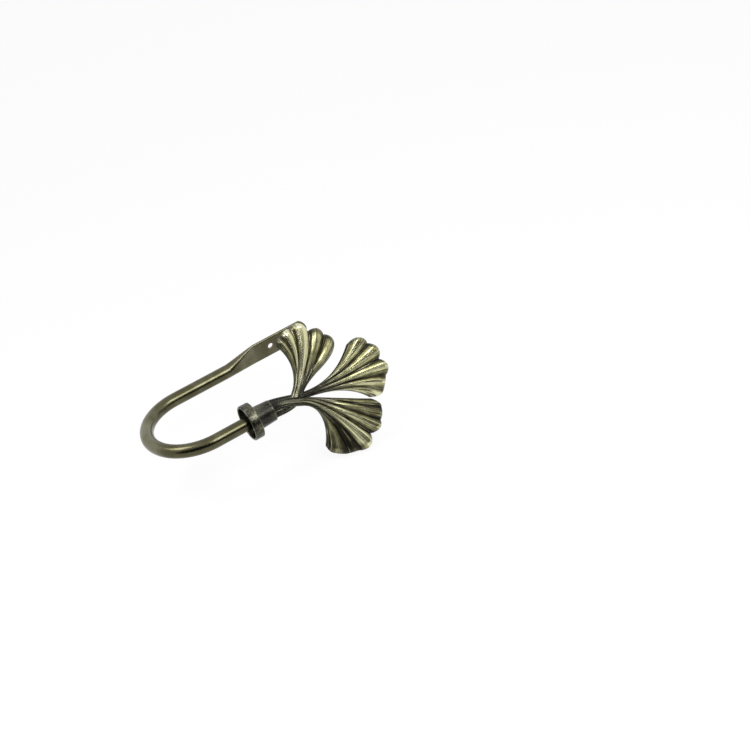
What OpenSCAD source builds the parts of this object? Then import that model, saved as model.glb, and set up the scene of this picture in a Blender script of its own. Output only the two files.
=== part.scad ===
// Curtain holdback: a bent tube arm with a flattened, drilled fixing end,
// and a cast spray of three ginkgo leaves screwed on its free end.
// It lies as it is fixed: the wall is the plane y = 0, the room is at -Y and +Z is up.
// The origin is on the wall face, half way between the two screw holes.

/* [Arm] */
// Outer diameter of the tube
tube_d = 10; // [9:0.5:12]
// Wall thickness of the tube
tube_wall = 1; // [0.8:0.1:1.5]
// Radius of the bend, on the middle of the tube
bend_r = 36; // [28:1:45]
// From the middle of the two holes to the start of the bend
rear_run = 96; // [85:1:130]
// From the end of the bend to the end of the tube, inside the neck
front_run = 37; // [36:1:60]

/* [Fixing end] */
// Width of the flattened end
strip_w = 15.2; // [13:0.2:17]
// Thickness of the flattened end
strip_t = 2.2; // [1.6:0.1:3]
// Distance between the two screw holes
hole_gap = 24; // [20:1:32]
// Diameter of the screw holes
hole_d = 4.5; // [3.5:0.1:5.5]
// From the outer hole to the end of the flattened strip
hole_margin = 7.5; // [6.5:0.5:12]
// From the inner hole to the foot of the pressed slope
press_margin = 13; // [10:1:20]
// Length of the slope from round tube to flat strip
press_run = 26; // [18:1:30]

/* [Cup and neck] */
// Outer diameter of the cup
cup_d = 26.8; // [24:0.2:32]
// Width of the cup along the tube
cup_w = 7.2; // [6:0.2:10]
// Thickness of the wall of the cup
cup_wall = 1.5; // [1.2:0.1:2.5]
// Thickness of the floor of the cup
cup_floor = 1.8; // [1.5:0.1:2.5]
// Rounding of the edges of the cup
cup_round = 1; // [0.6:0.1:1.4]
// Diameter of the neck where it leaves the cup
neck_d = 17.2; // [15.5:0.1:19]
// Diameter of the neck at its end
neck_end_d = 15.6; // [14:0.1:17]
// Length of the neck behind the cup
neck_len = 13.9; // [12:0.1:20]
// Rounding of the end of the neck
neck_round = 0.8; // [0.4:0.1:1.2]
// Hollow rounding at the root of the neck
neck_fillet = 1; // [0.5:0.1:1.5]
// Clearance between the tube and the socket, on the radius
socket_gap = 0.1; // [0.05:0.05:0.3]
// Length of the tube in the socket, from the floor of the cup
socket_len = 7.2; // [6:0.2:10]

/* [Fixing of the spray] */
// Diameter of the stud
stud_d = 5; // [4:0.5:6]
// Length of the stud in the casting
stud_hold = 5; // [4:0.5:6]
// Length of the plug in the end of the tube
plug_len = 12; // [8:0.5:16]
// Clearance round the plug and the stud, on the radius
plug_gap = 0.05; // [0.02:0.01:0.1]

/* [Spray] */
// Turn of the spray on the arm, in degrees: the top leaf leans to the wall
spray_turn = 30; // [-60:1:60]
// From the end of the neck to where the stems cross
stem_run = 22; // [20:1:28]
// Diameter of a stem
stem_d = 6.8; // [6:0.2:7.4]
// Reach of the upper leaf from its knot
upper_reach = 48; // [42:1:54]
// Reach of the middle leaf from its knot
middle_reach = 65; // [58:1:72]
// Reach of the lower leaf from its knot
lower_reach = 58; // [52:1:64]
// Thickness of a leaf
leaf_t = 2; // [1.6:0.1:2.6]
// Radius of the edge that rolls back round a leaf
rim_r = 3.4; // [3:0.1:4]
// Lean of each leaf about its own middle ray, in degrees
leaf_lean = 13; // [0:1:18]

/* [Hidden] */
$fn = 96;
overrun = tube_wall;

// Arm: places along X from the middle of the two holes
tube_r = tube_d/2;
bore_r = tube_r - tube_wall;
bend_x = -rear_run;
tube_end_x = bend_x + front_run;
front_y = -tube_r - 2*bend_r;
strip_end_x = hole_gap/2 + hole_margin;
strip_x = -hole_gap/2 - press_margin;
press_x = strip_x - press_run;
strip_end_share = 0.52;
end_r = strip_w*strip_end_share;
end_x = strip_end_x - end_r;

// Pressed slope: rings of the loft from round tube to flat strip
press_rings = 12;
press_ease_share = 0.3;
press_points = 36;
press_inset = tube_wall/20;
slit_share = 0.8;

// Casting: places along X
floor_x = tube_end_x - socket_len;
cup_back_x = floor_x + cup_floor;
cup_x = cup_back_x - cup_w;
neck_x = cup_back_x + neck_len;
cup_r = cup_d/2;
neck_r = neck_d/2;
neck_end_r = neck_end_d/2;
socket_r = tube_r + socket_gap;
stud_hole_r = stud_d/2 + plug_gap;
stud_hole_x = tube_end_x + stud_hold;
nose_len = neck_x - stud_hole_x;
stem_r = stem_d/2;

// Leaves: how finely they are built, and the shares that shape them
ridge_steps = 5;
stem_rings = 6;
fan_rings = 9;
rim_rings = 3;
ridge_share = 0.28;
dome_share = 0.04;
fan_share = 0.55;
rim_ridge_share = 0.5;
corner_share = 0.07;
corner_run_share = 0.08;
root_sink_share = 0.85;
root_step_share = 0.08;
root_pull_share = 0.4;
knot_pull_share = 0.35;
edge_turn = 4;

// Each leaf, in the plane of the spray. The knot is in shares of stem_run, the root is a share of
// the radius of the end of the neck, and the thickness of the stem at both ends and the depth at
// the root, the knot and the rim are shares of stem_d. Angles are those of the left and right
// edges, the heading of the stem at the knot and the spread of the rays there. Tip angles are the
// headings of the rays at the rim, on the left, in the middle and on the right, and pulls say how
// far a ray keeps to its first and last heading, as shares of the reach. Ridges have widths as
// shares of the fan, heights as shares of that of a plain ridge, and crowns and valleys as shares
// of the reach.
upper_knot_shares = [0.955, 0.035];
upper_root_share = -0.4;
upper_stem_shares = [1.05, 1.2];
upper_depth_shares = [0, -0.12, 0];
upper_lean_share = 1.35;
upper_angles = [89, 20.5, 47, -2];
upper_tip_angles = [118, 74, 42];
upper_pull_shares = [0.3, 0.3];
upper_width_shares = [0.15, 0.14, 0.26, 0.22, 0.23];
upper_height_shares = [1, 1, 1.1, 1, 1];
upper_crown_shares = [0.87, 0.97, 1.065, 1.06, 1.05];
upper_valley_shares = [0.82, 0.9, 0.98, 0.96, 1.02, 0.96];

middle_knot_shares = [1.2, -0.09];
middle_root_share = 0.6;
middle_stem_shares = [1, 0.76];
middle_depth_shares = [-0.25, -0.5, -0.2];
middle_lean_share = 1;
middle_angles = [23.2, -30.5, -8, -1];
middle_tip_angles = [44, -3, -56];
middle_pull_shares = [0.33, 0.26];
middle_width_shares = [0.23, 0.25, 0.22, 0.19, 0.11];
middle_height_shares = [0.8, 1, 1.1, 1, 1];
middle_crown_shares = [0.905, 1, 1.03, 0.96, 0.9];
middle_valley_shares = [0.78, 0.925, 0.96, 0.99, 0.94, 0.83];

lower_knot_shares = [0.94, -0.2];
lower_root_share = 0.32;
lower_stem_shares = [0.95, 0.95];
lower_depth_shares = [0.5, 0.5, 0.15];
lower_lean_share = 1;
lower_angles = [-25.5, -87.5, -25, -3];
lower_tip_angles = [-27, -54, -124];
lower_pull_shares = [0.25, 0.3];
lower_width_shares = [0.1, 0.14, 0.18, 0.23, 0.13, 0.22];
lower_height_shares = [0.9, 1, 1, 1.1, 0.3, 0.7];
lower_crown_shares = [1.01, 1.05, 1.065, 1.05, 0.93, 0.795];
lower_valley_shares = [0.96, 1.035, 1.05, 0.98, 0.975, 0.89, 0.69];

function ease(x) = let(c = max(0, min(1, x))) c*c*(3 - 2*c);
function mix(a, b, f) = a + (b - a)*f;
function heading(a) = [cos(a), sin(a)];
function across(a) = [-sin(a), cos(a)];
function sum_to(v, n) = n <= 0 ? 0 : v[n - 1] + sum_to(v, n - 1);
function bezier3(p, q) = pow(1 - q, 3)*p[0] + 3*pow(1 - q, 2)*q*p[1] + 3*(1 - q)*q*q*p[2] + pow(q, 3)*p[3];
function slope3(p, q) = pow(1 - q, 2)*(p[1] - p[0]) + 2*(1 - q)*q*(p[2] - p[1]) + q*q*(p[3] - p[2]);
function bezier2(a, b, c, q) = pow(1 - q, 2)*a + 2*(1 - q)*q*b + q*q*c;

// Skin of a stack of rings of equal length. Each ring runs out on the face and home on the back,
// so both ends are closed by a band from its first half to its second.
module loft(rings) {
    n = len(rings[0]);
    m = len(rings);
    z = (m - 1)*n;
    polyhedron(
        points = [for (ring = rings) each ring],
        faces = concat(
            [for (i = [0:n/2 - 2]) let(j = n - 1 - i)
                each [[z + i, z + j, z + i + 1], [z + i + 1, z + j, z + j - 1], [i, i + 1, j], [i + 1, j - 1, j]]],
            [for (k = [0:m - 2]) for (i = [0:n - 1]) let(j = (i + 1)%n)
                each [[k*n + i, (k + 1)*n + i, (k + 1)*n + j], [k*n + i, (k + 1)*n + j, k*n + j]]]),
        convexity = 10);
}

// A rod along X from the given place
module rod(r, x, y, length) {
    translate([x, y, 0]) rotate([0, 90, 0]) cylinder(r = r, h = length);
}

module bend(r) {
    translate([bend_x, -tube_r - bend_r, 0]) rotate([0, 0, 90])
        rotate_extrude(angle = 180) translate([bend_r, 0]) circle(r = r);
}

// A stadium of width w and thickness t, with its back on the wall, drawn in by inset
function stadium(w, t, inset) = [for (i = [0:press_points - 1])
    let(a = 360*(i + 0.5)/press_points, r = t/2 - inset, side = (w - t)/2)
    [-t/2 - r*sin(a), r*cos(a) + (cos(a) >= 0 ? side : -side)]];

// The slope pressed into the tube, from round at its start to flat at its foot
module slope(start_x, end_share, wall) {
    loft([for (k = [0:press_rings])
        let(s = end_share*k/press_rings, x = mix(press_x, strip_x, s) + (k == 0 ? start_x : 0),
            f = mix(s, ease(s), press_ease_share), t = mix(tube_d, strip_t, f), w = mix(tube_d, strip_w, f))
        [for (p = stadium(w, t, wall)) [x, p[0], p[1]]]]);
}

module flat_strip() {
    intersection() {
        translate([strip_x - overrun, 0, 0]) rotate([0, 90, 0]) rotate([0, 0, 90])
            linear_extrude(height = strip_end_x - strip_x + 2*overrun)
                polygon([for (p = stadium(strip_w, strip_t, 0)) [p[0], p[1]]]);
        union() {
            translate([strip_x - 2*overrun, -strip_t - overrun, -strip_w])
                cube([end_x - strip_x + 2*overrun, strip_t + 2*overrun, 2*strip_w]);
            translate([end_x, overrun, 0]) rotate([90, 0, 0]) cylinder(r = end_r, h = strip_t + 2*overrun);
        }
    }
}

module arm() {
    color([0.42, 0.4, 0.27]) difference() {
        union() {
            rod(tube_r, bend_x, -tube_r, press_x - bend_x + overrun);
            bend(tube_r);
            rod(tube_r, bend_x, front_y, front_run);
            slope(0, 1, press_inset);
            flat_strip();
        }
        rod(bore_r, bend_x, -tube_r, press_x - bend_x + overrun);
        bend(bore_r);
        rod(bore_r, bend_x, front_y, front_run + overrun);
        slope(-overrun, slit_share, tube_wall + press_inset);
        for (side = [-1, 1])
            translate([side*hole_gap/2, overrun, 0]) rotate([90, 0, 0])
                cylinder(r = hole_d/2, h = strip_t + 2*overrun);
    }
}

// Cup, neck and socket, turned about the tube
module cup_and_neck() {
    translate([0, front_y, 0]) rotate([0, 90, 0]) rotate_extrude() polygon(concat(
        [[socket_r, floor_x], [cup_r - cup_wall, floor_x], [cup_r - cup_wall, cup_x]],
        [for (a = [180:-30:90])
            [cup_r - cup_round/2 + cup_round/2*cos(a - 90), cup_x + cup_round/2 - cup_round/2*sin(a - 90)]],
        [for (a = [0:15:90]) [cup_r - cup_round + cup_round*cos(a), cup_back_x - cup_round + cup_round*sin(a)]],
        [for (a = [0:15:90])
            [neck_r + neck_fillet - neck_fillet*sin(a), cup_back_x + neck_fillet - neck_fillet*cos(a)]],
        [for (a = [0:15:90]) [neck_end_r - neck_round + neck_round*cos(a), neck_x - neck_round + neck_round*sin(a)]],
        [[0, neck_x], [0, stud_hole_x], [stud_hole_r, stud_hole_x],
            [stud_hole_r, tube_end_x], [socket_r, tube_end_x]]));
}

// Outer edge of a fan, as a share of the reach, at a share of the way across
function ridge_at(widths, s, k = 0) =
    k >= len(widths) - 1 || s < sum_to(widths, k + 1) ? k : ridge_at(widths, s, k + 1);
function ridge_place(widths, s) = let(k = ridge_at(widths, s))
    [k, min(1, max(0, (s - sum_to(widths, k))/widths[k]))];
function crest(q) = pow(max(0, sin(180*q)), 0.8);
function edge_share(widths, crowns, valleys, s) = let(p = ridge_place(widths, s), k = p[0], q = p[1],
    low = mix(valleys[k], valleys[k + 1], q)) low + (crowns[k] - (valleys[k] + valleys[k + 1])/2)*crest(q);

// How far short of the rim a ray stops, so that the fan's two outer corners are round
function corner(s) = corner_share*pow(max(0, 1 - min(s, 1 - s)/corner_run_share), 2);

// One leaf with its stem, as a stack of rings from inside the neck to the rim of the fan
module leaf(reach, knot_shares, root_share, stems, depths, lean_share, angles, tips, pulls,
    widths, heights, crowns, valleys) {
    knot = stem_run*knot_shares;
    knot_r = stem_r*stems[1];
    root = [-nose_len*(root_sink_share + root_step_share*root_share), (neck_end_r - neck_round)*root_share];
    path = [root, root + [root_pull_share*stem_run, 0],
        knot - knot_pull_share*stem_run*heading(angles[2]), knot];
    shares = [for (k = [0:len(widths) - 1]) for (j = [0:ridge_steps - 1])
        sum_to(widths, k) + widths[k]*j/ridge_steps, 1];
    last = len(shares) - 1;
    rim_step = rim_r/(3*reach*pulls[1]);

    // Middle of the stem, then its edges: m is 1 on the left and -1 on the right
    function stem_at(q, m) = let(d = slope3(path, q), l = norm(d))
        bezier3(path, q) + [-d[1], d[0]]/l*stem_r*mix(stems[0], stems[1], q)*m;
    function fan_at(s, m, u) = let(a = knot + across(angles[2])*knot_r*m,
            b = knot + reach*edge_share(widths, crowns, valleys, s)*heading(mix(angles[0], angles[1], s)))
        bezier3([a, a + pulls[0]*reach*heading(angles[2] + angles[3]*m),
            b - pulls[1]*reach*heading(bezier2(tips[0], tips[1], tips[2], s)), b], u*(1 - corner(s)));
    function width_at(u) = norm(fan_at(0, 1, u) - fan_at(1, -1, u));
    // Drop of an edge of radius r at a distance from the side, at an angle rolled over the rim
    function roll(gap, turn, r) = let(a = max(0, r - gap), b = r*sin(turn)) r - sqrt(max(0, r*r - a*a - b*b));

    function turn_at(s) = mix(edge_turn, 180 - edge_turn, s);
    function stem_ring(q) = let(h = bezier2(depths[0], depths[1], depths[1], q)*stem_d,
        r = stem_r*mix(stems[0], stems[1], q))
        concat([for (i = [0:last]) let(a = turn_at(shares[i]), p = stem_at(q, cos(a))) [p[0], -h - r*sin(a), p[1]]],
            [for (i = [last:-1:0]) let(a = turn_at(shares[i]), p = stem_at(q, cos(a))) [p[0], -h + r*sin(a), p[1]]]);

    // A ring of the fan: u runs along it, turn is the angle rolled over the rim
    function fan_ring(u, turn) = let(
            f = ease(u/fan_share), w = width_at(u),
            h = mix(depths[1], depths[2], ease(u))*stem_d + dome_share*reach*sin(180*u),
            in_u = u - f*(leaf_t/rim_r*rim_step)*sin(turn),
            fade = mix(1, rim_ridge_share, 1 - cos(turn)))
        concat(
            [for (i = [0:last]) fan_point(shares[i], u, turn, f, w, h, fade, 0)],
            [for (i = [last:-1:0]) fan_point(shares[i], in_u, turn, f, w, h, fade, 1)]);
    // under is 0 on the face of the leaf and 1 on its back
    function fan_point(s, u, turn, f, w, h, fade, under) = let(
            m0 = mix(cos(turn_at(s)), 1 - 2*s, f),
            m = m0*(1 - under*f*2*leaf_t/w),
            e = (1 - m)/2,
            place = ridge_place(widths, e),
            p = fan_at(e, m, u),
            gap = (1 - abs(m0))/2*w,
            drop = roll(gap, turn, rim_r - under*leaf_t),
            ridge = ridge_share*heights[place[0]]*widths[place[0]]*w*crest(place[1])*fade,
            lean = tan(leaf_lean*lean_share)*w*(0.5 - e),
            shell = leaf_t/2 + ridge + lean - drop - under*leaf_t,
            round = (under == 1 ? -1 : 1)*knot_r*sin(turn_at(s)))
        [p[0], -h - mix(round, shell, f), p[1]];

    stem = [for (k = [0:stem_rings - 1]) stem_ring(k/stem_rings)];
    fan = [for (k = [0:fan_rings]) fan_ring(mix(0, 1 - rim_step, k/fan_rings), 0)];
    rim = [for (k = [1:rim_rings]) let(a = 90*k/rim_rings)
        fan_ring(1 - rim_step*(1 - sin(a)), a)];
    loft(concat(stem, fan, rim));
}

module leaf_spray() {
    color([0.55, 0.53, 0.36]) union() {
        cup_and_neck();
        translate([neck_x, front_y, 0]) rotate([-spray_turn, 0, 0]) {
            leaf(upper_reach, upper_knot_shares, upper_root_share, upper_stem_shares, upper_depth_shares,
                upper_lean_share, upper_angles, upper_tip_angles, upper_pull_shares,
                upper_width_shares, upper_height_shares, upper_crown_shares, upper_valley_shares);
            leaf(middle_reach, middle_knot_shares, middle_root_share, middle_stem_shares, middle_depth_shares,
                middle_lean_share, middle_angles, middle_tip_angles, middle_pull_shares,
                middle_width_shares, middle_height_shares, middle_crown_shares, middle_valley_shares);
            leaf(lower_reach, lower_knot_shares, lower_root_share, lower_stem_shares, lower_depth_shares,
                lower_lean_share, lower_angles, lower_tip_angles, lower_pull_shares,
                lower_width_shares, lower_height_shares, lower_crown_shares, lower_valley_shares);
        }
    }
}

module tube_plug() {
    color([0.6, 0.6, 0.62]) difference() {
        rod(bore_r - plug_gap, tube_end_x - plug_len, front_y, plug_len);
        rod(stud_hole_r, tube_end_x - plug_len - overrun, front_y, plug_len + 2*overrun);
    }
}

module stud() {
    color([0.7, 0.7, 0.72]) rod(stud_d/2, tube_end_x - plug_len, front_y, plug_len + stud_hold - plug_gap);
}

arm();
leaf_spray();
tube_plug();
stud();
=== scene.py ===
# Curtain holdback in antique brass: bent tube arm and a cast spray of three ginkgo leaves
import math

import bpy
from mathutils import Matrix, Vector, noise


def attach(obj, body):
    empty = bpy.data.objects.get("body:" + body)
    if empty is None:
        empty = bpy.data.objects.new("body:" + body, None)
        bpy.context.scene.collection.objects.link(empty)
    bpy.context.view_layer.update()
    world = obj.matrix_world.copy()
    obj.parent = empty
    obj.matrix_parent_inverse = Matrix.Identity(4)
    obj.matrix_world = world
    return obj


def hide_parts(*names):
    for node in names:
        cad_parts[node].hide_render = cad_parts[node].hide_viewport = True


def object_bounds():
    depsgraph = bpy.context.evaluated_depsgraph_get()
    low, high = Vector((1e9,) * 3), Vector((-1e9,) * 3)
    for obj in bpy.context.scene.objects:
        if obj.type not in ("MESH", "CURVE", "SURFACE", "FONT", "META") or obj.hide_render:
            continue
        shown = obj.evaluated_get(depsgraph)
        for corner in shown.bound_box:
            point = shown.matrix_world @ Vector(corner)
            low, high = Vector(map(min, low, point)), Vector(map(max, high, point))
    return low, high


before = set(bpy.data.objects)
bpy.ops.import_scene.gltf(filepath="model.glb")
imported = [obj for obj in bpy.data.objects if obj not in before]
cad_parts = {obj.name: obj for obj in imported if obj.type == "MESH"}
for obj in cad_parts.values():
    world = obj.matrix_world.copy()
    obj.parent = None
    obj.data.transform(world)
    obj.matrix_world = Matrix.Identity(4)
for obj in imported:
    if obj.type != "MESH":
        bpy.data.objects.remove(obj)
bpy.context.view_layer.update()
mm = 0.001

# Camera as the photo has it: level 33 degrees above the arm, rolled to the right
camera = {"place": (-0.3299, -0.9786, 0.6224), "turn": (55.54, 13.77, -31.14), "lens": 76.8}

bpy.ops.object.select_all(action="DESELECT")
bpy.ops.object.camera_add(location=camera["place"], rotation=[math.radians(a) for a in camera["turn"]])
photoCamera = bpy.context.object
photoCamera.name = "photoCamera"
photoCamera.data.lens = camera["lens"]
photoCamera.data.sensor_width = 36.0
photoCamera.data.clip_end = 20.0
bpy.context.scene.camera = photoCamera
print("camera ready")


def deselectAll():
    if bpy.context.object and bpy.context.object.mode != "OBJECT":
        bpy.ops.object.mode_set(mode="OBJECT")
    bpy.ops.object.select_all(action="DESELECT")


def ease(x):
    c = max(0.0, min(1.0, x))
    return c * c * (3 - 2 * c)


def mix(a, b, f):
    return a + (b - a) * f


def heading(degrees):
    return Vector((math.cos(math.radians(degrees)), math.sin(math.radians(degrees))))


def smoothStep(low, high, x):
    return ease((x - low) / (high - low))


# The spray: what its three leaves share, in millimetres and degrees
spray = {
    "place": (-50.5, -77.0, 0.0),
    "turn": -30.0,
    "stemRun": 22.0,
    "stemR": 3.4,
    "nose": 3.5,
    "neckEnd": 7.0,
    "leafT": 2.0,
    "rimR": 3.4,
    "lean": 13.0,
    "ridgeHeight": 0.28,
    "dome": 0.04,
    "fanStart": 0.55,
    "corner": (0.07, 0.08),  # how much shorter the outer rays are, and over which share of the leaf
    "seam": 4.0,  # where face and back meet on a stem
    "roundness": 0.8,
    "groove": (0.34, 0.42),  # depth and width
    "vein": (0.16, 0.26),
    "veins": (0.24, 0.42, 0.61, 0.8),  # where they lie across a ridge
    "lip": 0.55,
    "backTone": 0.35,
    "columns": 22,
    "rows": (30, 78, 9, 3),
}

# Each leaf: knot and root in the plane of the spray, thickness of its stem, depth at root, knot and rim,
# angles of the left edge, the right edge, the stem and the spread, headings of the rays at the rim. Then its
# ridges from left to right: width, height, reach on the crowns and in the valleys between, and how bright they
# are painted as light or shade falls on them. Last how polished it is at root and knot, where the dark is partly
# painted shade where the stems meet, how bright its grooves stay and how much painted shade darkens the rim
upperLeaf = {
    "name": "upperLeaf",
    "reach": 48.0,
    "knot": (0.955, 0.035),
    "root": -0.4,
    "stems": (1.05, 1.2),
    "depths": (0.0, -0.12, 0.0),
    "lean": 1.35,
    "angles": (89.0, 20.5, 47.0, -2.0),
    "tips": (118.0, 74.0, 42.0),
    "pulls": (0.3, 0.3),
    "widths": (0.15, 0.14, 0.26, 0.22, 0.23),
    "heights": (1.0, 1.0, 1.1, 1.0, 1.0),
    "crowns": (0.87, 0.97, 1.065, 1.06, 1.05),
    "valleys": (0.82, 0.9, 0.98, 0.96, 1.02, 0.96),
    "paintedRidgeLight": (0.95, 1.7, 1.68, 0.9, 0.95),
    "polishAndShade": (0.1, 0.37),
    "grooveTone": 0.3,
    "rimPaintedShade": 0.3,
    "seed": 3.0,
}
middleLeaf = {
    "name": "middleLeaf",
    "reach": 65.0,
    "knot": (1.2, -0.09),
    "root": 0.6,
    "stems": (1.0, 0.76),
    "depths": (-0.25, -0.5, -0.2),
    "lean": 1.0,
    "angles": (23.2, -30.5, -8.0, -1.0),
    "tips": (44.0, -3.0, -56.0),
    "pulls": (0.33, 0.26),
    "widths": (0.23, 0.25, 0.22, 0.19, 0.11),
    "heights": (0.8, 1.0, 1.1, 1.0, 1.0),
    "crowns": (0.905, 1.0, 1.03, 0.96, 0.9),
    "valleys": (0.78, 0.925, 0.96, 0.99, 0.94, 0.83),
    "paintedRidgeLight": (1.1, 1.05, 1.1, 1.15, 1.3),
    "polishAndShade": (0.0, 0.3),
    "grooveTone": 0.15,
    "rimPaintedShade": 0.15,
    "seed": 11.0,
}
lowerLeaf = {
    "name": "lowerLeaf",
    "reach": 58.0,
    "knot": (0.94, -0.2),
    "root": 0.32,
    "stems": (0.95, 0.95),
    "depths": (0.5, 0.5, 0.15),
    "lean": 1.0,
    "angles": (-25.5, -87.5, -25.0, -3.0),
    "tips": (-27.0, -54.0, -124.0),
    "pulls": (0.25, 0.3),
    "widths": (0.1, 0.14, 0.18, 0.23, 0.13, 0.22),
    "heights": (0.9, 1.0, 1.0, 1.1, 0.3, 0.7),
    "crowns": (1.01, 1.05, 1.065, 1.05, 0.93, 0.795),
    "valleys": (0.96, 1.035, 1.05, 0.98, 0.975, 0.89, 0.69),
    "paintedRidgeLight": (0.7, 0.97, 1.15, 1.34, 0.35, 0.97),
    "polishAndShade": (0.05, 0.42),
    "grooveTone": 0.0,
    "rimPaintedShade": 0.2,
    "seed": 23.0,
}


def makeLeaf(leaf):
    reach, widths = leaf["reach"], leaf["widths"]
    angles, depths = leaf["angles"], leaf["depths"]
    stemR = spray["stemR"]
    leafT, rimR = spray["leafT"], spray["rimR"]
    knot = Vector(leaf["knot"]) * spray["stemRun"]
    knotR = stemR * leaf["stems"][1]
    root = Vector((-spray["nose"] * (0.85 + 0.08 * leaf["root"]), spray["neckEnd"] * leaf["root"]))
    stemPath = [
        root,
        root + Vector((0.4 * spray["stemRun"], 0)),
        knot - 0.35 * spray["stemRun"] * heading(angles[2]),
        knot,
    ]
    edges = [sum(widths[:k]) for k in range(len(widths) + 1)]
    edges[-1] = 1.0
    rimStep = rimR / (3 * reach * leaf["pulls"][1])
    sideways = Vector((-math.sin(math.radians(angles[2])), math.cos(math.radians(angles[2]))))

    def ridgePlace(s):
        k = 0
        while k < len(widths) - 1 and s >= edges[k + 1]:
            k += 1
        return k, min(1.0, max(0.0, (s - edges[k]) / widths[k]))

    def crest(q):
        return max(0.0, math.sin(math.pi * q)) ** spray["roundness"]

    def edgeShare(s):
        k, q = ridgePlace(s)
        low = mix(leaf["valleys"][k], leaf["valleys"][k + 1], q)
        return low + (leaf["crowns"][k] - (leaf["valleys"][k] + leaf["valleys"][k + 1]) / 2) * crest(q)

    def stemAt(q, m):
        a, b, c, d = stemPath
        p = a * (1 - q) ** 3 + b * 3 * q * (1 - q) ** 2 + c * 3 * q * q * (1 - q) + d * q**3
        t = (b - a) * (1 - q) ** 2 + (c - b) * 2 * q * (1 - q) + (d - c) * q * q
        t.normalize()
        return p + Vector((-t.y, t.x)) * stemR * mix(leaf["stems"][0], leaf["stems"][1], q) * m

    def fanAt(s, m, u):
        short, run = spray["corner"]
        u *= 1 - short * max(0.0, 1 - min(s, 1 - s) / run) ** 2
        a = knot + sideways * knotR * m
        d = knot + reach * edgeShare(s) * heading(mix(angles[0], angles[1], s))
        left, middle, right = leaf["tips"]
        b = a + leaf["pulls"][0] * reach * heading(angles[2] + angles[3] * m)
        c = d - leaf["pulls"][1] * reach * heading(left * (1 - s) ** 2 + middle * 2 * s * (1 - s) + right * s * s)
        return a * (1 - u) ** 3 + b * 3 * u * (1 - u) ** 2 + c * 3 * u * u * (1 - u) + d * u**3

    def roll(gap, turn, r):
        a, b = max(0.0, r - gap), r * math.sin(turn)
        return r - math.sqrt(max(0.0, r * r - a * a - b * b))

    # How far the surface is cut in by the grooves between ridges and by the finer veins on them
    def cut(s, w, along):
        k, q = ridgePlace(s)
        ridgeW = widths[k] * w
        d = min(q, 1 - q) * ridgeW
        depth, width = spray["groove"]
        deep = depth * smoothStep(1.02, 0.72, along) * math.exp(-((d / width) ** 2))
        if k == 0 and q < 0.5 or k == len(widths) - 1 and q > 0.5:
            deep = 0.0
        depth, width = spray["vein"]
        for n, place in enumerate(spray["veins"]):
            wander = 0.07 * noise.noise(Vector((leaf["seed"] + k * 2.3, n * 3.1, along * 2.2)))
            strength = 0.5 + 0.9 * noise.noise(Vector((leaf["seed"] + n * 1.7, k * 4.7, along * 3.5)))
            v = abs(q - place - wander) * ridgeW
            deep += depth * max(0.0, strength) * smoothStep(1.0, 0.8, along) * math.exp(-((v / width) ** 2))
        return deep

    def stemAngle(s):
        return math.radians(mix(spray["seam"], 180 - spray["seam"], s))

    def surface(s, under, row):
        kind, x = row
        if kind == "stem":
            a = stemAngle(s)
            h = ((1 - x) ** 2 * depths[0] + 2 * x * (1 - x) * depths[1] + x * x * depths[1]) * 2 * stemR
            r = stemR * mix(leaf["stems"][0], leaf["stems"][1], x)
            p = stemAt(x, math.cos(a))
            side = -1 if under else 1
            bite = 0.0 if under else 0.8 * cut(s, 2.6 * r, 0.0) * math.sin(a) * mix(0.5, 1, x)
            return Vector((p.x, -(h + side * (r * math.sin(a) - bite)), p.y))
        u = 1 - rimStep if kind != "fan" else x
        turn = 0.0
        if kind == "rim":
            turn = x
            u = 1 - rimStep * (1 - math.sin(turn))
        f = ease(u / spray["fanStart"])
        w = (fanAt(0, 1, u) - fanAt(1, -1, u)).length
        h = mix(depths[1], depths[2], ease(u)) * 2 * stemR + spray["dome"] * reach * math.sin(math.pi * u)
        fade = mix(1, 0.5, 1 - math.cos(turn))
        planU = u - f * (leafT / rimR * rimStep) * math.sin(turn) if under else u
        m0 = mix(math.cos(stemAngle(s)), 1 - 2 * s, f)
        m = m0 * (1 - (f * 2 * leafT / w if under else 0))
        e = (1 - m) / 2
        k, q = ridgePlace(e)
        p = fanAt(e, m, planU)
        gap = (1 - abs(m0)) / 2 * w
        drop = roll(gap, turn, rimR - (leafT if under else 0))
        ridge = spray["ridgeHeight"] * leaf["heights"][k] * widths[k] * w * crest(q) * fade
        lean = math.tan(math.radians(spray["lean"] * leaf["lean"])) * w * (0.5 - e)
        shell = leafT / 2 + ridge + lean - drop - (leafT if under else 0)
        sine = math.sin(stemAngle(s))
        roundPart = (-1 if under else 1) * knotR * sine
        if not under:
            bite = cut(e, w, u) * math.cos(turn)
            shell -= bite * min(1.0, gap / 1.5)
            roundPart -= 0.8 * bite * sine
        return Vector((p.x, -(h + mix(roundPart, shell, f)), p.y))

    # Red: bright crests and dark grooves, scaled per ridge by painted light. Green: polish and painted shade, from
    # the dark root to the rim. Blue: the back
    def wearAndLightOf(s, under, row):
        kind, x = row
        u = 0.0 if kind == "stem" else (x if kind == "fan" else 1.0)
        k, q = ridgePlace(s)
        # Painted light: each ridge is made brighter or darker as light falls on it
        bright = mix(leaf["grooveTone"], 1, crest(q)) * leaf["paintedRidgeLight"][k]
        atRoot, atKnot = leaf["polishAndShade"]
        # Polish with painted shade: darkest at the root and knot, where the stems meet each other and the neck,
        # lighter out to the rim
        polishAndShade = mix(atRoot, atKnot, smoothStep(0, 0.6, x)) if kind == "stem" else mix(atKnot, 1.0, ease(u / 0.8))
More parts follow.
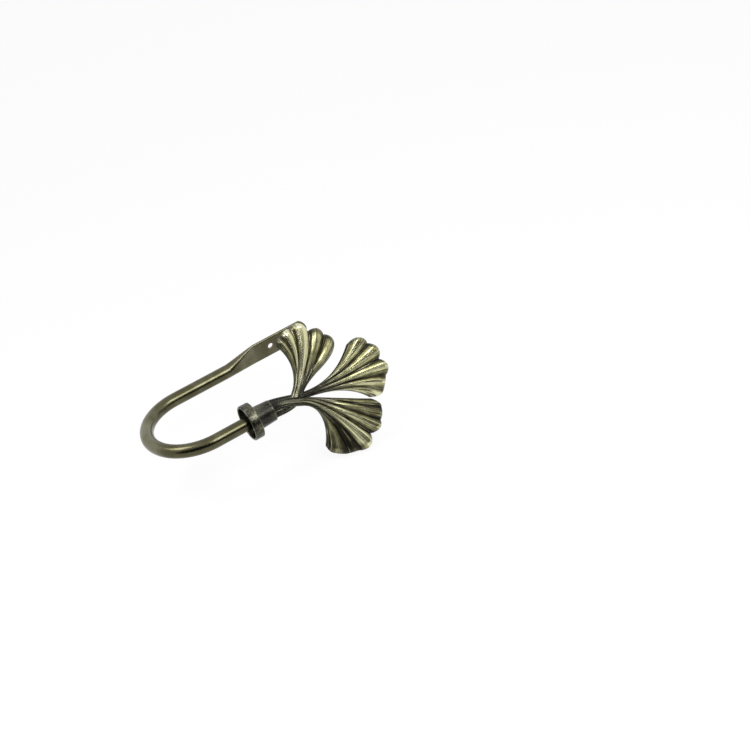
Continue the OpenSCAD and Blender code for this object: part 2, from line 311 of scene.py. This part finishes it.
        # Painted shade: the rim darkens where it rolls away from the light, and its rolled edge is darker still
        polishAndShade *= 1 - leaf["rimPaintedShade"] * smoothStep(0.86, 0.93, u)
        if kind == "rim":
            polishAndShade *= 1 - 0.6 * smoothStep(0.5, 1.0, x / (math.pi / 2))
        return (spray["backTone"] if under else bright, polishAndShade, 1.0 if under else 0.0, 1.0)

    stemRows, fanRows, rimRows, closeRows = spray["rows"]
    rows = [("stem", k / stemRows) for k in range(stemRows)]
    rows += [("fan", (1 - rimStep) * k / fanRows) for k in range(fanRows + 1)]
    rows += [("rim", math.pi / 2 * k / rimRows) for k in range(1, rimRows + 1)]
    rows += [("close", k / (2 * closeRows)) for k in range(1, closeRows + 1)]

    # Each column: its place across the leaf, and how far it is from face (0) to back (1)
    steps = len(widths) * spray["columns"]
    shares = [k / steps for k in range(steps + 1)]
    quarters = (0.25, 0.5, 0.75)
    across = [(s, 0.0) for s in shares] + [(1.0, t) for t in quarters]
    across += [(s, 1.0) for s in reversed(shares)] + [(0.0, t) for t in reversed(quarters)]
    across.append((0.0, 0.0))

    deselectAll()
    bpy.ops.mesh.primitive_grid_add(
        x_subdivisions=len(across) - 1, y_subdivisions=len(rows) - 1, size=1.0, calc_uvs=True
    )
    piece = bpy.context.object
    piece.name = piece.data.name = leaf["name"]
    mesh = piece.data
    placed = Matrix.Translation(Vector(spray["place"])) @ Matrix.Rotation(math.radians(spray["turn"]), 4, "X")
    # Per-point colour channels: wear and patina, together with painted light on the ridges and painted shade at the
    # root and rim
    wearAndLight = mesh.attributes.new("wearAndLight", "FLOAT_COLOR", "POINT")
    gridPlace = []
    cache = {}

    def point(s, under, row):
        key = (s, under, row)
        if key not in cache:
            cache[key] = surface(s, under, row)
        return cache[key]

    lastRim = ("rim", math.pi / 2)
    for vertex in mesh.vertices:
        i = round((vertex.co.x + 0.5) * (len(across) - 1))
        j = round((vertex.co.y + 0.5) * (len(rows) - 1))
        s, t = across[i]
        row = rows[j]
        if row[0] == "close":
            t = min(max(t, row[1]), 1 - row[1])
            row = lastRim
        face = point(s, False, row) if t < 1 else None
        back = point(s, True, row) if t > 0 else None
        if t == 0:
            p = face
        elif t == 1:
            p = back
        else:
            fan = 0.0 if row[0] == "stem" else ease((row[1] if row[0] == "fan" else 1) / spray["fanStart"])
            p = mix(face, back, t) + Vector((0, spray["lip"] * fan * math.sin(math.pi * t), 0))
        vertex.co = (placed @ p) * mm
        a, b = wearAndLightOf(s, False, row), wearAndLightOf(s, True, row)
        wearAndLight.data[vertex.index].color = [mix(a[n], b[n], t) for n in range(4)]
        gridPlace.append((s, j / (len(rows) - 1)))
    uv = mesh.uv_layers.active.data
    for loop in mesh.loops:
        uv[loop.index].uv = gridPlace[loop.vertex_index]

    bpy.ops.object.mode_set(mode="EDIT")
    bpy.ops.mesh.select_all(action="SELECT")
    bpy.ops.mesh.remove_doubles(threshold=0.004 * mm)
    bpy.ops.mesh.select_mode(type="EDGE")
    bpy.ops.mesh.select_all(action="DESELECT")
    bpy.ops.mesh.select_non_manifold(
        extend=False, use_wire=False, use_multi_face=False, use_non_contiguous=False, use_verts=False
    )
    bpy.ops.mesh.edge_face_add()
    bpy.ops.mesh.select_all(action="SELECT")
    bpy.ops.mesh.normals_make_consistent(inside=False)
    bpy.ops.object.mode_set(mode="OBJECT")
    bpy.ops.object.shade_smooth()
    print(leaf["name"], "has", len(mesh.polygons), "faces")
    return piece


# Cup and neck: places along X and radii, in millimetres, from the socket out over the cup to the nose
cupAndNeck = {
    "y": -77.0,
    "profile": (
        (-66.2, 5.1),
        (-66.2, 11.9),
        (-71.6, 11.9),
        (-71.6, 13.4),
        (-64.4, 13.4),
        (-64.4, 8.6),
        (-50.5, 7.8),
        (-50.5, 0.8),
    ),
    "segments": 128,
    "edge": 0.7,
    "edgeSegments": 4,
}


def makeCupAndNeck():
    deselectAll()
    profile = cupAndNeck["profile"]
    x, r = profile[0]
    bpy.ops.mesh.primitive_circle_add(
        vertices=cupAndNeck["segments"],
        radius=r * mm,
        location=(x * mm, cupAndNeck["y"] * mm, 0),
        rotation=(0, math.pi / 2, 0),
    )
    piece = bpy.context.object
    piece.name = piece.data.name = "cupAndNeck"
    bpy.ops.object.transform_apply(location=True, rotation=True, scale=True)
    bpy.ops.object.mode_set(mode="EDIT")
    bpy.ops.mesh.select_all(action="SELECT")
    for nextX, nextR in profile[1:]:
        bpy.ops.mesh.extrude_region_move(TRANSFORM_OT_translate={"value": ((nextX - x) * mm, 0, 0)})
        if nextR != r:
            bpy.ops.transform.resize(
                value=(1, nextR / r, nextR / r), center_override=(nextX * mm, cupAndNeck["y"] * mm, 0)
            )
        x, r = nextX, nextR
    bpy.ops.mesh.edge_face_add()
    bpy.ops.mesh.select_all(action="SELECT")
    bpy.ops.mesh.normals_make_consistent(inside=False)
    bpy.ops.object.mode_set(mode="OBJECT")
    rounding = piece.modifiers.new("rounding", "BEVEL")
    rounding.width = cupAndNeck["edge"] * mm
    rounding.segments = cupAndNeck["edgeSegments"]
    rounding.limit_method = "ANGLE"
    rounding.angle_limit = math.radians(50)
    bpy.ops.object.modifier_apply(modifier="rounding")
    bpy.ops.object.shade_smooth_by_angle(angle=math.radians(35))
    print("cup and neck has", len(piece.data.polygons), "faces")
    return piece


# Materials
def newMaterial(name):
    material = bpy.data.materials.new(name)
    material.use_nodes = True
    material.node_tree.nodes.clear()
    return material, material.node_tree


def addNode(tree, kind, settings=None, inputs=None):
    node = tree.nodes.new(kind)
    for key, value in (settings or {}).items():
        setattr(node, key, value)
    for key, value in (inputs or {}).items():
        if isinstance(value, bpy.types.NodeSocket):
            tree.links.new(value, node.inputs[key])
        else:
            node.inputs[key].default_value = value
    return node


def ramp(tree, source, stops):
    node = addNode(tree, "ShaderNodeValToRGB", inputs={"Fac": source})
    while len(node.color_ramp.elements) < len(stops):
        node.color_ramp.elements.new(0.5)
    for element, (position, colour) in zip(node.color_ramp.elements, stops):
        element.position = position
        element.color = (*colour, 1.0)
    return node.outputs["Color"]


def math2(tree, operation, a, b=0.0, clamp=False):
    node = addNode(tree, "ShaderNodeMath", {"operation": operation, "use_clamp": clamp}, {0: a, 1: b})
    return node.outputs[0]


def mapRange(tree, source, fromMin, fromMax, toMin, toMax):
    inputs = {"Value": source, "From Min": fromMin, "From Max": fromMax, "To Min": toMin, "To Max": toMax}
    return addNode(tree, "ShaderNodeMapRange", inputs=inputs).outputs[0]


def finishMetal(tree, colour, rough, height, bump):
    strength, distance = bump
    bump = addNode(tree, "ShaderNodeBump", inputs={"Height": height, "Strength": strength, "Distance": distance})
    shader = addNode(
        tree,
        "ShaderNodeBsdfPrincipled",
        inputs={"Base Color": colour, "Roughness": rough, "Normal": bump.outputs[0], "Metallic": 1.0},
    )
    out = addNode(tree, "ShaderNodeOutputMaterial")
    tree.links.new(shader.outputs[0], out.inputs[0])


# Cast brass: scales of the noises, shares in the shine, and the colours from dark to light
castingFinish = {
    "blotch": 160.0,
    "grain": 1500.0,
    "streaks": (75.0, 2.5, 1.0),
    "hairlines": (85.0, 3.0, 1.0),
    "crest": 1.7,
    "relief": 0.8,
    "polishAndShade": 0.15,
    "under": -0.1,
    "blotchShare": 0.6,
    "streakShare": 1.3,
    "hairlineShare": 0.7,
    "scratchDark": (0.41, 0.35, (0.012, 0.011, 0.01, 1)),
    # Light hairlines: bright scratches through the patina, partly painted glints
    "brightScratchAndGlint": (0.61, 0.66, (0.6, 0.59, 0.42, 1)),
    "scratchMost": 0.85,
    # The polish counted here is the polish and painted shade channel
    "scratchRoot": (0.2, 0.4),  # light hairlines at no polish, and the polish at which they are at their most
    "level": -1.34,
    "roughness": (0.48, 0.26),
    "bump": (0.36, 0.3 * mm),
    "bumpShares": (0.6, 0.1),  # hairlines and grain, against the streaks
    "stemGrey": 0.55,
    "stops": (
        (0.0, (0.013, 0.012, 0.009)),
        (0.2, (0.032, 0.03, 0.018)),
        (0.4, (0.078, 0.073, 0.036)),
        (0.6, (0.165, 0.156, 0.074)),
        (0.8, (0.37, 0.36, 0.175)),
        (1.0, (0.74, 0.725, 0.43)),
    ),
}


def makeCastingFinish():
    material, tree = newMaterial("castBrassFinish")
    # The attribute carries wear and patina with painted light and shade
    wearAndLight = addNode(tree, "ShaderNodeAttribute", {"attribute_name": "wearAndLight"})
    parts = addNode(tree, "ShaderNodeSeparateColor", inputs={"Color": wearAndLight.outputs["Color"]})
    relief, polishAndShade, under = parts.outputs[0], parts.outputs[1], parts.outputs[2]
    place = addNode(tree, "ShaderNodeTexCoord")

    def spots(scale, detail):
        inputs = {"Vector": place.outputs["Object"], "Scale": scale, "Detail": detail}
        return addNode(tree, "ShaderNodeTexNoise", inputs=inputs).outputs[0]

    def lines(scale, detail):
        inputs = {"Vector": place.outputs["UV"], "Scale": scale}
        stretched = addNode(tree, "ShaderNodeMapping", inputs=inputs)
        inputs = {"Vector": stretched.outputs[0], "Scale": 1.0, "Detail": detail, "Roughness": 0.6}
        return addNode(tree, "ShaderNodeTexNoise", inputs=inputs).outputs[0]

    blotch = spots(castingFinish["blotch"], 5.0)
    grain = spots(castingFinish["grain"], 3.0)
    streak = lines(castingFinish["streaks"], 3.0)
    hairline = lines(castingFinish["hairlines"], 2.0)

    # Bright on the ridges and towards the rim, dark in the grooves, at the stems and on the back; the dark at the
    # stems is partly painted shade, and each ridge's brightness is painted light
    crests = math2(tree, "POWER", relief, castingFinish["crest"])
    crests = math2(tree, "MULTIPLY", crests, polishAndShade)
    terms = (
        (crests, "relief"),
        (polishAndShade, "polishAndShade"),
        (under, "under"),
        (blotch, "blotchShare"),
        (streak, "streakShare"),
        (hairline, "hairlineShare"),
    )
    shine = None
    for source, share in terms:
        term = math2(tree, "MULTIPLY", source, castingFinish[share])
        shine = term if shine is None else math2(tree, "ADD", shine, term)
    shine = math2(tree, "ADD", shine, castingFinish["level"], clamp=True)
    colour = ramp(tree, shine, castingFinish["stops"])
    # Thin hairlines along the ridges, dark where the noise is lowest and light where it is highest; the light ones
    # are bright scratches with painted glints
    least, polished = castingFinish["scratchRoot"]
    most = castingFinish["scratchMost"]
    brightLineShare = mapRange(tree, polishAndShade, 0.0, polished, least, most)
    for (first, full, tint), share in ((castingFinish["scratchDark"], most), (castingFinish["brightScratchAndGlint"], brightLineShare)):
        share = mapRange(tree, hairline, first, full, 0.0, share)
        mixed = addNode(
            tree,
            "ShaderNodeMix",
            {"data_type": "RGBA", "blend_type": "MIX"},
            {"Factor": share, 6: colour, 7: tint},
        )
        colour = mixed.outputs[2]
    grey = mapRange(tree, polishAndShade, 0.0, 1.0, castingFinish["stemGrey"], 1.0)
    colour = addNode(tree, "ShaderNodeHueSaturation", inputs={"Saturation": grey, "Color": colour}).outputs[0]
    rough = mapRange(tree, shine, 0.0, 1.0, *castingFinish["roughness"])
    hairlineBump, grainBump = castingFinish["bumpShares"]
    height = math2(tree, "ADD", streak, math2(tree, "MULTIPLY", hairline, hairlineBump))
    height = math2(tree, "ADD", height, math2(tree, "MULTIPLY", grain, grainBump))
    finishMetal(tree, colour, rough, height, castingFinish["bump"])
    return material


# Turned and drawn parts: colours from dark to light, and how light the colour is at places along X, in
# millimetres; on the tube these levels paint light and shade. With a tilt the places also count how far a spot is
# from the wall
turnedScales = {"blotch": 90.0, "grain": 800.0, "detail": 5.0, "roughSpread": 0.08, "bump": (0.03, 0.1 * mm)}
tubeFinish = {
    "stops": ((0.0, (0.045, 0.042, 0.022)), (0.5, (0.095, 0.09, 0.05)), (1.0, (0.2, 0.195, 0.135))),
    "tilt": 0.3,
    # Painted light on the tube: the bend is painted lighter for the light it reflects, and the pressed end lighter,
    # then darker towards its far end as painted shade
    "bands": ((-125.0, 1.0), (-117.5, 0.92), (-109.0, 0.5), (-45.0, 0.5), (-36.0, 0.72), (-5.0, 0.6)),
    "blotch": 0.9,
    "grain": 0.25,
    "roughness": 0.26,
}
cupFinish = {
    "tilt": 0.0,
    "stops": (
        (0.0, (0.013, 0.013, 0.012)),
        (0.4, (0.044, 0.043, 0.036)),
        (0.75, (0.135, 0.131, 0.09)),
        (1.0, (0.33, 0.322, 0.24)),
    ),
    "bands": (
        (-71.8, 0.85),
        (-71.2, 0.55),
        (-65.2, 0.55),
        (-64.6, 0.85),
        (-64.2, 0.35),
        (-62.0, 0.35),
        (-52.4, 0.4),
        (-51.6, 0.62),
        (-50.4, 0.45),
    ),
    "blotch": 1.2,
    "grain": 1.0,
    "roughness": 0.32,
}
plainFinish = {
    "tilt": 0.0,
    "stops": ((0.0, (0.3, 0.28, 0.2)), (1.0, (0.4, 0.37, 0.26))),
    "bands": ((-150.0, 0.5), (20.0, 0.5)),
    "blotch": 0.5,
    "grain": 0.2,
    "roughness": 0.35,
}


def makeTurnedFinish(name, finish):
    material, tree = newMaterial(name)
    place = addNode(tree, "ShaderNodeTexCoord").outputs["Object"]

    def spots(scale):
        inputs = {"Vector": place, "Scale": scale, "Detail": turnedScales["detail"]}
        return addNode(tree, "ShaderNodeTexNoise", inputs=inputs).outputs[0]

    blotch = spots(turnedScales["blotch"])
    grain = spots(turnedScales["grain"])
    apart = addNode(tree, "ShaderNodeSeparateXYZ", inputs={"Vector": place})
    tilted = math2(tree, "MULTIPLY", apart.outputs[1], finish["tilt"])
    tilted = math2(tree, "SUBTRACT", apart.outputs[0], tilted)
    bands = finish["bands"]
    first, last = bands[0][0], bands[-1][0]
    along = mapRange(tree, tilted, first * mm, last * mm, 0.0, 1.0)
    level = ramp(tree, along, [((x - first) / (last - first), (v, v, v)) for x, v in bands])
    level = math2(tree, "ADD", level, math2(tree, "MULTIPLY", blotch, finish["blotch"]))
    level = math2(tree, "ADD", level, math2(tree, "MULTIPLY", grain, finish["grain"]))
    level = math2(tree, "SUBTRACT", level, (finish["blotch"] + finish["grain"]) / 2, clamp=True)
    colour = ramp(tree, level, finish["stops"])
    middle, spread = finish["roughness"], turnedScales["roughSpread"]
    rough = mapRange(tree, grain, 0.0, 1.0, middle - spread, middle + spread)
    finishMetal(tree, colour, rough, grain, turnedScales["bump"])
    return material


castingMaterial = makeCastingFinish()
tubeMaterial = makeTurnedFinish("tubeBrassFinish", tubeFinish)
cupMaterial = makeTurnedFinish("cupBrassFinish", cupFinish)
plainMaterial = makeTurnedFinish("plainMetalFinish", plainFinish)
print("materials ready")

for leaf in (upperLeaf, middleLeaf, lowerLeaf):
    piece = makeLeaf(leaf)
    piece.data.materials.append(castingMaterial)
    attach(piece, "root")
    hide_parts("leaf_spray")

piece = makeCupAndNeck()
piece.data.materials.append(cupMaterial)
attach(piece, "root")
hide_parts("leaf_spray")

for nodeName, material in (("arm", tubeMaterial), ("tube_plug", plainMaterial), ("stud", plainMaterial)):
    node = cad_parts[nodeName]
    for materialSlot in node.material_slots:
        materialSlot.material = material
print("pieces ready")

# Floor: white to the camera and in reflections, with the object's soft shadow left on it
floor = {"drop": 1.0, "size": 8.0, "shadow": 0.1, "paper": (0.95, 0.95, 0.95, 1)}
low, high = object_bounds()
deselectAll()
bpy.ops.mesh.primitive_plane_add(size=floor["size"], location=(0, 0, low.z - floor["drop"] * mm))
floorPiece = bpy.context.object
floorPiece.name = "floor"
material, tree = newMaterial("floorPaper")
rays = addNode(tree, "ShaderNodeLightPath")
seen = math2(tree, "ADD", rays.outputs["Is Camera Ray"], rays.outputs["Is Glossy Ray"], clamp=True)
seen = math2(tree, "ADD", seen, rays.outputs["Is Transmission Ray"], clamp=True)
seen = math2(tree, "MULTIPLY", seen, 1 - floor["shadow"])
paper = addNode(tree, "ShaderNodeBsdfDiffuse", inputs={"Color": floor["paper"]})
white = addNode(tree, "ShaderNodeEmission", inputs={"Color": (1, 1, 1, 1), "Strength": 1.0})
both = addNode(tree, "ShaderNodeMixShader", inputs={0: seen, 1: paper.outputs[0], 2: white.outputs[0]})
out = addNode(tree, "ShaderNodeOutputMaterial")
tree.links.new(both.outputs[0], out.inputs[0])
floorPiece.data.materials.append(material)

# Dark card in front of the object, which only the metal's reflections show: it gives the round rods and the
# ridges their dark band
darkCard = {"away": 1.0, "width": 2.6, "height": 1.1, "level": 0.01}
towards = Vector((camera["place"][0], camera["place"][1], 0)).normalized()
deselectAll()
bpy.ops.mesh.primitive_plane_add(size=1.0)
card = bpy.context.object
card.name = "darkCard"
bpy.ops.transform.resize(value=(darkCard["width"], darkCard["height"], 1))
card.rotation_euler = (math.pi / 2, 0, math.atan2(towards.y, towards.x) + math.pi / 2)
card.location = towards * darkCard["away"] + Vector((0, 0, floorPiece.location.z + darkCard["height"] / 2))
material, tree = newMaterial("darkCardCloth")
rays = addNode(tree, "ShaderNodeLightPath")
clear = addNode(tree, "ShaderNodeBsdfTransparent")
dark = addNode(tree, "ShaderNodeEmission", inputs={"Color": (1, 1, 1, 1), "Strength": darkCard["level"]})
shown = rays.outputs["Is Glossy Ray"]
both = addNode(tree, "ShaderNodeMixShader", inputs={0: shown, 1: clear.outputs[0], 2: dark.outputs[0]})
out = addNode(tree, "ShaderNodeOutputMaterial")
tree.links.new(both.outputs[0], out.inputs[0])
card.data.materials.append(material)

# World: white where it is seen, an even grey where it lights the object
studioLevels = {"lit": 0.6, "seen": 1.0}
world = bpy.data.worlds.new("studioWorld")
bpy.context.scene.world = world
world.use_nodes = True
tree = world.node_tree
tree.nodes.clear()
rays = addNode(tree, "ShaderNodeLightPath")
seen = math2(tree, "ADD", rays.outputs["Is Camera Ray"], rays.outputs["Is Glossy Ray"], clamp=True)
seen = math2(tree, "ADD", seen, rays.outputs["Is Transmission Ray"], clamp=True)
level = mapRange(tree, seen, 0.0, 1.0, studioLevels["lit"], studioLevels["seen"])
light = addNode(tree, "ShaderNodeBackground", inputs={"Color": (1, 1, 1, 1), "Strength": level})
out = addNode(tree, "ShaderNodeOutputWorld")
tree.links.new(light.outputs[0], out.inputs[0])

# Softboxes, placed as seen from the camera: right, up and towards it, in metres from the object
softboxes = (
    {"name": "keyBox", "side": (0.3, 0.36, 0.65), "size": (0.4, 0.34), "power": 3.1},
    {"name": "leftBox", "side": (-0.55, 0.45, 0.45), "size": (0.34, 0.34), "power": 2.6},
)
middle = Vector((-0.05, -0.06, 0.0))
seenFrom = photoCamera.rotation_euler.to_matrix()
for box in softboxes:
    offset = seenFrom @ Vector(box["side"])
    bpy.ops.object.light_add(type="AREA", location=middle + offset)
    lamp = bpy.context.object
    lamp.name = box["name"]
    lamp.data.shape = "RECTANGLE"
    lamp.data.size, lamp.data.size_y = box["size"]
    lamp.data.energy = box["power"]
    lamp.rotation_euler = (-offset).to_track_quat("-Z", "Y").to_euler()
print("lights ready")

bpy.context.scene.view_settings.view_transform = "Standard"
